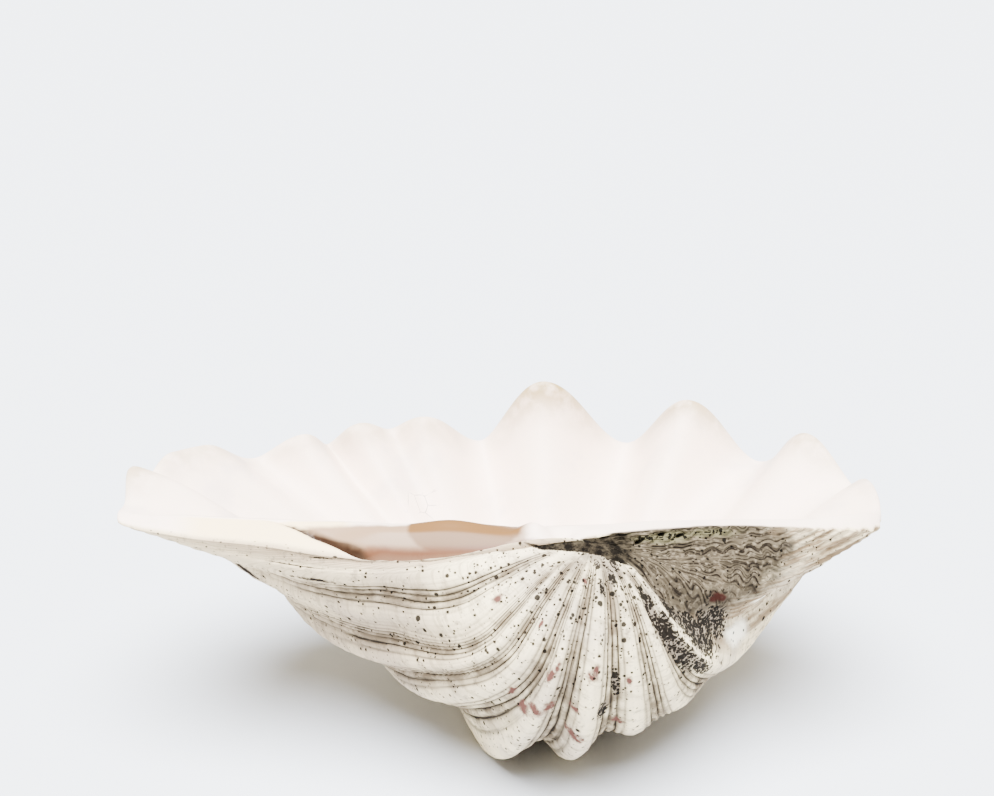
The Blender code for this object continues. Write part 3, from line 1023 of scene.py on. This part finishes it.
near = step_between(pits, math(pits, "DIVIDE", cells.outputs["Distance"], wide), *PIT_EDGE, 1.0, 0.0)
wire(pits, math(pits, "MULTIPLY", near, held), result["Mask"])
print("group:", pits.name)

# %% [markdown]
# Lines in the grooves
#
# Dark threads run down every groove, side by side. Their place is the fold's own course,
# not a place in space, so they bend with the folds and lie in the valleys of the riblets.
# The same group draws the seams between the layers of the front side.

# %% The group for groove lines
SWAY_SHEET = (2.0, 9.0)
SWAY_SCALE = 2.2
SWAY = 0.16
BREAKS_SHEET = (9.0, 6.0)
BREAKS = (0.30, 0.56, 0.25, 1.0)
groove_lines, given, result = new_group(
    "groove lines",
    (("Course", NUMBER, 0.0), ("Growth", NUMBER, 0.0), ("Count", NUMBER, THREADS),
     ("Sharpness", NUMBER, 2.0)),
    (("Mask", NUMBER),),
)


def sheet(tree, first, second, stretch):
    """A flat sheet, stretched both ways, for a noise to lie on."""
    wide = math(tree, "MULTIPLY", first, stretch[0])
    return joined(tree, wide, math(tree, "MULTIPLY", second, stretch[1]))


sway = sheet(groove_lines, given["Course"], given["Growth"], SWAY_SHEET)
sway = noise(groove_lines, sway, SWAY_SCALE)
sway = math(groove_lines, "MULTIPLY", math(groove_lines, "SUBTRACT", sway, 0.5), SWAY)
phase = math(groove_lines, "MULTIPLY", math(groove_lines, "ADD", given["Course"], sway), given["Count"])
turned = math(groove_lines, "COSINE", math(groove_lines, "MULTIPLY", phase, 2 * pi))
crest = math(groove_lines, "MULTIPLY_ADD", turned, -0.5, 0.5)
thread = math(groove_lines, "POWER", crest, given["Sharpness"])
breaks = sheet(groove_lines, given["Course"], given["Growth"], BREAKS_SHEET)
breaks = noise(groove_lines, breaks, 1.0)
unbroken = math(groove_lines, "MULTIPLY", thread, step_between(groove_lines, breaks, *BREAKS))
wire(groove_lines, unbroken, result["Mask"])
print("group:", groove_lines.name)

# %% [markdown]
# Growth lines
#
# Growth lines follow the old margins. They are thin noise in the direction of growth, drawn
# long round the valve. On the front side the layers themselves are rippled.

# %% The group for growth lines
GROWTH_SHOWS = (0.50, 0.62)
growth_lines, given, result = new_group(
    "growth lines",
    (("Around", NUMBER, 0.0), ("Layers", NUMBER, 0.0), ("Stretch", NUMBER, 22.0), ("Count", NUMBER, 60.0)),
    (("Mask", NUMBER), ("Value", NUMBER)),
)
long_way = sheet(growth_lines, given["Around"], given["Layers"], (given["Stretch"], given["Count"]))
grain = noise(growth_lines, long_way, 1.0, roughness=0.6)
wire(growth_lines, step_between(growth_lines, grain, *GROWTH_SHOWS), result["Mask"])
wire(growth_lines, grain, result["Value"])
print("group:", growth_lines.name)

# %% [markdown]
# The finish of the shell
#
# Outside: chalk white on the ribs, grey-brown threads and beige dirt in the grooves, black
# pits, pink and rust marks, grey-brown crinkled layers on the front side, two worn white
# marks with a painted sheen, and painted shade over dark shell in the crevice above the beak.
# Inside: smooth white with a breath of pink, faint smudges and a few hair lines. The hinge
# plate is cream, with a salmon ligament groove, painted shade over brown in the slit, and a
# tan pad.
# Each patch is a colour over the one before it. The light is bright, so a colour that has to
# look black is far darker here than it seems it should be.

# %% Colours of the shell
CHALK = (0.95, 0.79, 0.50, 1.0)
# The next colour is for the two worn white marks, with a painted sheen on them.
WHITE_AND_SHEEN = (0.98, 0.90, 0.72, 1.0)
COLD_CHALK = (0.65, 0.54, 0.385, 1.0)
FLANK_BEIGE = (0.37, 0.265, 0.175, 1.0)
WORN_GREY = (0.20, 0.160, 0.118, 1.0)
BEIGE = (0.120, 0.086, 0.053, 1.0)
THREAD = (0.013, 0.0095, 0.0065, 1.0)
STAIN = (0.21, 0.145, 0.083, 1.0)
LAYER_LIGHT = (0.072, 0.056, 0.036, 1.0)
LAYER_PALE = (0.190, 0.150, 0.102, 1.0)
LAYER_DARK = (0.007, 0.005, 0.0035, 1.0)
PIT = (0.0032, 0.0026, 0.0020, 1.0)
OLIVE_GREEN = (0.092, 0.080, 0.043, 1.0)
RUST_RED = (0.032, 0.010, 0.007, 1.0)
PINK_MARK = (0.108, 0.046, 0.036, 1.0)
INSIDE = (0.95, 0.75, 0.63, 1.0)
SMUDGE = (0.62, 0.52, 0.49, 1.0)
HAIR = (0.22, 0.19, 0.17, 1.0)
CREAM = (0.95, 0.72, 0.42, 1.0)
ROSY = (0.27, 0.170, 0.102, 1.0)
TAN = (0.135, 0.064, 0.021, 1.0)
SALMON = (0.118, 0.044, 0.020, 1.0)
# The next colour is painted shade for the slit of the hinge plate, over the brown of the ligament.
SLIT_SHADE_AND_BROWN = (0.022, 0.009, 0.004, 1.0)
# The next colour is painted shade for the crevice above the beak, over some dark shell.
CREVICE_SHADE_AND_DARK = (0.0040, 0.0030, 0.0021, 1.0)
TIP_YELLOW = (0.31, 0.215, 0.080, 1.0)
print("colours ready")

# %% Where the surface is
PATCH_SCALE = 14.0
CLOUD_SCALE = 60.0
GRIT_SCALE = 260.0
GRIME_SCALE = 110.0
shell = bpy.data.materials.new("shell")
shell.use_nodes = True
tree = shell.node_tree
surface = tree.nodes["Principled BSDF"]


def mask(name):
    return node(tree, "ShaderNodeAttribute", attribute_name=name).outputs["Fac"]


def ragged(share, grain, spread, soft):
    """A mask with an edge torn by a noise: how far it is torn, and how soft it is."""
    torn = math(tree, "MULTIPLY_ADD", math(tree, "SUBTRACT", grain, 0.5), spread, share)
    return step_between(tree, torn, 0.5 - soft, 0.5 + soft)


place = node(tree, "ShaderNodeTexCoord").outputs["Object"]
round_along = node(tree, "ShaderNodeSeparateXYZ")
wire(tree, node(tree, "ShaderNodeUVMap", uv_map="UVMap").outputs[0], round_along.inputs[0])
around_now = round_along.outputs[0]
growth = mask("growth")
in_lines = mask("lines")
on_front = mask("front_side")
on_outside = mask("outer")
patchy = noise(tree, place, PATCH_SCALE)
cloudy = noise(tree, place, CLOUD_SCALE)
gritty = noise(tree, place, GRIT_SCALE)
grime = noise(tree, place, GRIME_SCALE, detail=7.0, roughness=0.72)
print("masks and noises ready")

# %% Chalk, dirt and threads
# From where to where a noise or a mask is read, and the least and most that it gives
COLD_SHOWS = (0.40, 0.64)
GROWTH_SHARE = 0.30
GRIME_SHOWS = (0.52, 0.70, 0.0, 0.75)
UMBO_GREY = (0.35, 0.60, 0.42, 0.92)
DIRT_SHOWS = (0.28, 0.62, 0.30, 0.95)
THREADS_SHOW = (0.12, 0.60, 0.05, 1.0)

chalk = blend(tree, step_between(tree, patchy, *COLD_SHOWS), CHALK, COLD_CHALK)
fine_growth = place_group(tree, growth_lines, {"Around": around_now, "Layers": growth, "Count": 90.0})
colour = blend(tree, mask("flank"), chalk, FLANK_BEIGE)
colour = blend(tree, math(tree, "MULTIPLY", fine_growth["Mask"], GROWTH_SHARE), colour, BEIGE)
colour = blend(tree, step_between(tree, grime, *GRIME_SHOWS), colour, WORN_GREY)
umbo_share = math(tree, "MULTIPLY", mask("umbo"), step_between(tree, cloudy, *UMBO_GREY))
colour = blend(tree, umbo_share, colour, WORN_GREY)
dirt = math(tree, "MULTIPLY", in_lines, step_between(tree, cloudy, *DIRT_SHOWS))
colour = blend(tree, dirt, colour, BEIGE)
threads = place_group(tree, groove_lines, {"Course": mask("course"), "Growth": growth})["Mask"]
thread_share = math(tree, "MULTIPLY", threads, step_between(tree, in_lines, *THREADS_SHOW))
colour = blend(tree, thread_share, colour, THREAD)
print("chalk, dirt and threads done")

# %% The layers of the front side
LAYERS_SHOW = (0.36, 0.56)
PALE_SHOWS = (0.50, 0.68, 0.0, 0.6)
SEAMS_BREAK = (0.36, 0.56, 0.25, 1.0)
STAINS_SHOW = (0.42, 0.60, 1.0, 0.25)
CRINKLED_TORN = (1.1, 0.42)

front_layers = place_group(
    tree, growth_lines, {"Around": around_now, "Layers": mask("layers"), "Stretch": 9.0, "Count": 24.0}
)
seams = place_group(
    tree, groove_lines, {"Course": mask("layers"), "Growth": around_now, "Count": 13.0, "Sharpness": 4.0}
)["Mask"]
streaks = place_group(
    tree, growth_lines, {"Around": growth, "Layers": around_now, "Stretch": 5.0, "Count": 85.0}
)
layer_share = step_between(tree, front_layers["Value"], *LAYERS_SHOW)
layer_colour = blend(tree, layer_share, LAYER_DARK, LAYER_LIGHT)
layer_colour = blend(tree, step_between(tree, gritty, *PALE_SHOWS), layer_colour, LAYER_PALE)
broken_seams = math(tree, "MULTIPLY", seams, step_between(tree, cloudy, *SEAMS_BREAK))
layer_colour = blend(tree, broken_seams, layer_colour, LAYER_DARK)
stained = step_between(tree, streaks["Value"], *STAINS_SHOW)
colour = blend(tree, math(tree, "MULTIPLY", on_front, stained), colour, STAIN)
colour = blend(tree, ragged(mask("crinkled"), cloudy, *CRINKLED_TORN), colour, layer_colour)
print("front side done")

# %% Marks and patches of the outside
# A mask, the noise that tears its edge, how far it is torn, how soft it is, and the colour
MARKS = (
    ("smears", gritty, 1.2, 0.3, THREAD), ("olive", cloudy, 1.0, 0.3, OLIVE_GREEN),
    ("rust", gritty, 0.8, 0.3, RUST_RED), ("porous", cloudy, 1.2, 0.4, WORN_GREY),
    ("gloss", cloudy, 0.8, 0.3, WHITE_AND_SHEEN), ("pink", gritty, 1.2, 0.3, PINK_MARK),
)
# The gloss marks are painted a paler white: worn white shell with a painted sheen.
for name, grain, spread, soft, paint in MARKS:
    colour = blend(tree, ragged(mask(name), grain, spread, soft), colour, paint)
print("kinds of marks:", len(MARKS))

# %% [markdown]
# Where the pits are
#
# The small pits are scattered by the group, in five sizes. The worn patches get so many wide
# ones that only a net of shell is left between them. The two dozen largest stand at their
# own places: each is a short distance from a point of the surface, its edge torn by noise.

# %% Scattered pits
# The size of a cell in metres, the share of cells with a pit, and its radius in cells
SCATTERED = (
    (0.0032, 0.42, 0.32), (0.0052, 0.62, 0.29), (0.0095, 0.70, 0.22), (0.0200, 0.95, 0.125),
)
UMBO_SCATTERED = (0.0041, 0.58, 0.42)
NET_CELL = 0.0027
NET_RADIUS = 1.27
NET_SHOWS = (0.12, 0.60, 0.0, 0.97)
OLIVE_NET = 0.40
HOLES_SHOW = (0.30, 0.60)

in_olive = math(tree, "MULTIPLY", mask("olive"), OLIVE_NET)
net_share = step_between(tree, math(tree, "MAXIMUM", mask("porous"), in_olive), *NET_SHOWS)
net_pits = place_group(
    tree, pits, {"Vector": place, "Cell": NET_CELL, "Share": net_share, "Radius": NET_RADIUS}
)
all_pits = math(tree, "MAXIMUM", net_pits["Mask"], step_between(tree, mask("holes"), *HOLES_SHOW))
pit_kinds = [(mask("umbo"), UMBO_SCATTERED)] + [(mask("pitted"), kind) for kind in SCATTERED]
for where, (cell, most, radius) in pit_kinds:
    held = math(tree, "MULTIPLY", where, most)
    found = place_group(tree, pits, {"Vector": place, "Cell": cell, "Share": held, "Radius": radius})
    all_pits = math(tree, "MAXIMUM", all_pits, found["Mask"])
print("kinds of scattered pits:", len(pit_kinds))

# %% The largest pits
# Where each one is, and how wide it is from its middle, in metres
LARGE_PITS = (
    (-0.066, -0.163, 0.145, 0.0020), (-0.052, -0.171, 0.145, 0.0021), (-0.025, -0.186, 0.169, 0.0015),
    (-0.006, -0.207, 0.149, 0.0018), (-0.012, -0.168, 0.202, 0.0014), (0.044, -0.187, 0.206, 0.0017),
    (0.023, -0.181, 0.204, 0.0015), (0.052, -0.222, 0.186, 0.0017), (0.050, -0.223, 0.184, 0.0015),
    (0.072, -0.188, 0.212, 0.0026), (0.073, -0.218, 0.194, 0.0024), (0.098, -0.195, 0.198, 0.0014),
    (0.101, -0.200, 0.191, 0.0015), (0.094, -0.212, 0.186, 0.0014), (0.092, -0.218, 0.176, 0.0018),
    (0.101, -0.213, 0.174, 0.0018), (0.105, -0.214, 0.160, 0.0017), (0.176, -0.136, 0.148, 0.0020),
    (0.109, -0.213, 0.131, 0.0014), (-0.011, -0.186, 0.092, 0.0015), (-0.027, -0.185, 0.095, 0.0018),
    (-0.072, -0.162, 0.154, 0.0020), (-0.029, -0.167, 0.197, 0.0013), (0.086, -0.217, 0.175, 0.0013),
)
LARGE_TORN = 0.0035
LARGE_EDGE = (0.80, 1.15)
PIT_SHARE = 0.96
for *middle, radius in LARGE_PITS:
    away = node(tree, "ShaderNodeVectorMath", operation="DISTANCE")
    wire(tree, place, away.inputs[0])
    away.inputs[1].default_value = middle
    torn = math(tree, "SUBTRACT", gritty, 0.5)
    torn = math(tree, "MULTIPLY_ADD", torn, LARGE_TORN, away.outputs["Value"])
    full, gone = (radius * share for share in LARGE_EDGE)
    all_pits = math(tree, "MAXIMUM", all_pits, step_between(tree, torn, full, gone, 1.0, 0.0))
outside_colour = blend(tree, math(tree, "MULTIPLY", all_pits, PIT_SHARE), colour, PIT)
print("large pits:", len(LARGE_PITS))

# %% [markdown]
# Inside, plate and lobes
#
# The inside is colour over colour as well. The hair lines are the edges of large Voronoi
# cells, shown in one small place only and broken by noise. The marks of the hinge plate have
# soft edges, because there one kind of shell grades into the next. The dark slit among them
# is painted shade over the brown of the ligament.

# %% The finish of the inside
SMUDGES_SHOW = (0.52, 0.72, 0.0, 0.45)
HAIR_SCALE = 62.0
HAIR_EDGE = (0.010, 0.030, 0.75, 0.0)
HAIRS_BREAK = (0.40, 0.56)

colour = blend(tree, step_between(tree, patchy, *SMUDGES_SHOW), INSIDE, SMUDGE)
cracks = node(tree, "ShaderNodeTexVoronoi", feature="DISTANCE_TO_EDGE")
wire(tree, place, cracks.inputs["Vector"])
cracks.inputs["Scale"].default_value = HAIR_SCALE
hair = step_between(tree, cracks.outputs["Distance"], *HAIR_EDGE)
hair = math(tree, "MULTIPLY", hair, step_between(tree, cloudy, *HAIRS_BREAK))
colour = blend(tree, math(tree, "MULTIPLY", hair, mask("hairs")), colour, HAIR)
print("inside done")

# %% The plate, the painted shade of its slit and of the crevice, and the lobes
# The slit among these marks is painted shade over the brown of the ligament.
PLATE_MARKS = (
    ("cream", CREAM, 0.3), ("rosy", ROSY, 0.5), ("tan", TAN, 0.35), ("salmon", SALMON, 0.4),
    ("slit_shade", SLIT_SHADE_AND_BROWN, 0.2),
)
PLATE_SOFT = 0.34
CREVICE_SHADE_PALE = (0.44, 0.66, 0.0, 0.55)
CREVICE_SHADE_TORN = (0.9, 0.4)
TIPS_SHOW = (0.30, 0.60, 0.45, 1.0)

for name, paint, spread in PLATE_MARKS:
    colour = blend(tree, ragged(mask(name), cloudy, spread, PLATE_SOFT), colour, paint)
colour = blend(tree, on_outside, colour, outside_colour)
# Painted shade: the crevice above the beak goes nearly black, broken by paler patches.
crevice_shade_colour = blend(tree, step_between(tree, grime, *CREVICE_SHADE_PALE), CREVICE_SHADE_AND_DARK, LAYER_LIGHT)
colour = blend(tree, ragged(mask("crevice_shade"), gritty, *CREVICE_SHADE_TORN), colour, crevice_shade_colour)
tip_share = math(tree, "MULTIPLY", mask("tips"), step_between(tree, cloudy, *TIPS_SHOW))
colour = blend(tree, tip_share, colour, TIP_YELLOW)
wire(tree, colour, surface.inputs["Base Color"])
print("colours wired")

# %% [markdown]
# Gloss and bump
#
# The inside is glossy, with a thin coat. The outside is dull, apart from two worn, shiny
# marks. What is finer than the grid is bump: a pit and a thread sink in, and layers, growth
# lines and grit stand up a little.

# %% Gloss
GLOSS_INSIDE = 0.42
DULLER = 0.40
GLOSSIER = -0.45
COAT = 0.35
surface.inputs["Specular IOR Level"].default_value = 0.03
surface.inputs["Coat Roughness"].default_value = 0.32
wire(tree, math(tree, "MULTIPLY_ADD", on_outside, -COAT, COAT), surface.inputs["Coat Weight"])
dull = math(tree, "MULTIPLY_ADD", on_outside, DULLER, GLOSS_INSIDE)
wire(tree, math(tree, "MULTIPLY_ADD", mask("gloss"), GLOSSIER, dull), surface.inputs["Roughness"])
print("gloss wired")

# %% Bump
PIT_HEIGHT = -1.0
THREAD_HEIGHT = -0.3
GROWTH_HEIGHT = 0.5
LAYER_HEIGHT = 1.2
SEAM_HEIGHT = -0.8
GRIT_HEIGHT = 0.35
BUMP_STRENGTH = 0.6
BUMP_DISTANCE = 0.0012

height = math(tree, "MULTIPLY", threads, THREAD_HEIGHT)
height = math(tree, "ADD", math(tree, "MULTIPLY", all_pits, PIT_HEIGHT), height)
height = math(tree, "MULTIPLY_ADD", fine_growth["Value"], GROWTH_HEIGHT, height)
layer_height = math(tree, "MULTIPLY", on_front, LAYER_HEIGHT)
height = math(tree, "MULTIPLY_ADD", front_layers["Value"], layer_height, height)
height = math(tree, "MULTIPLY_ADD", seams, math(tree, "MULTIPLY", on_front, SEAM_HEIGHT), height)
height = math(tree, "MULTIPLY_ADD", gritty, GRIT_HEIGHT, height)
height = math(tree, "MULTIPLY", height, on_outside)
bump = node(tree, "ShaderNodeBump")
bump.inputs["Strength"].default_value = BUMP_STRENGTH
bump.inputs["Distance"].default_value = BUMP_DISTANCE
wire(tree, height, bump.inputs["Height"])
wire(tree, bump.outputs[0], surface.inputs["Normal"])
print("material nodes:", len(tree.nodes))

# %% Hand the valve over
valve.data.materials.clear()
valve.data.materials.append(shell)
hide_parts("clam_shell")
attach(valve, "root")
print("the valve stands for the plain one")

# %% [markdown]
# Floor, light and camera
#
# The floor is wide and pale. The light is one very broad soft sun from above the camera,
# with a bright sky all round, so the shadow under the shell is soft and nothing in the
# hollow is dark.

# %% Set the stage
FLOOR_SIDE = 30.0
FLOOR_COLOUR = (0.56, 0.58, 0.63, 1.0)
FLOOR_ROUGHNESS = 0.8
SKY_COLOUR = (1.0, 0.90, 0.70, 1.0)
SKY_STRENGTH = 1.05
SUN_COLOUR = (0.93, 0.97, 1.0)
SUN_STRENGTH = 28.4
SUN_WIDTH = radians(56)
SUN_LEAN = radians(16)
SUN_SIDE = radians(-2)

bpy.ops.object.select_all(action="DESELECT")
bpy.ops.mesh.primitive_plane_add(size=FLOOR_SIDE, location=(0, 0, 0))
floor = bpy.context.object
floor.name = "floor"
floor_paint = bpy.data.materials.new("floor_paint")
floor_paint.use_nodes = True
floor_surface = floor_paint.node_tree.nodes["Principled BSDF"]
floor_surface.inputs["Base Color"].default_value = FLOOR_COLOUR
floor_surface.inputs["Roughness"].default_value = FLOOR_ROUGHNESS
floor.data.materials.append(floor_paint)

sky = bpy.data.worlds.new("sky")
sky.use_nodes = True
sky.node_tree.nodes["Background"].inputs["Color"].default_value = SKY_COLOUR
sky.node_tree.nodes["Background"].inputs["Strength"].default_value = SKY_STRENGTH
bpy.context.scene.world = sky

bpy.ops.object.light_add(type="SUN", rotation=(SUN_LEAN, SUN_SIDE, 0))
sun = bpy.context.object
sun.data.energy = SUN_STRENGTH
sun.data.color = SUN_COLOUR
sun.data.angle = SUN_WIDTH
print("stage set")

# %% Set the camera
PHOTO_WIDTH = 994
FOCAL_PIXELS = 1800
SENSOR = 36
CAMERA_PITCH = radians(17.958)
CAMERA_PLACE = (-0.00705, -1.49980, 0.77732)

bpy.ops.object.camera_add(location=CAMERA_PLACE, rotation=(pi / 2 - CAMERA_PITCH, 0, 0))
camera = bpy.context.object
camera.data.sensor_width = SENSOR
camera.data.lens = FOCAL_PIXELS * SENSOR / PHOTO_WIDTH
bpy.context.scene.camera = camera
print("lens in mm:", round(camera.data.lens, 2))
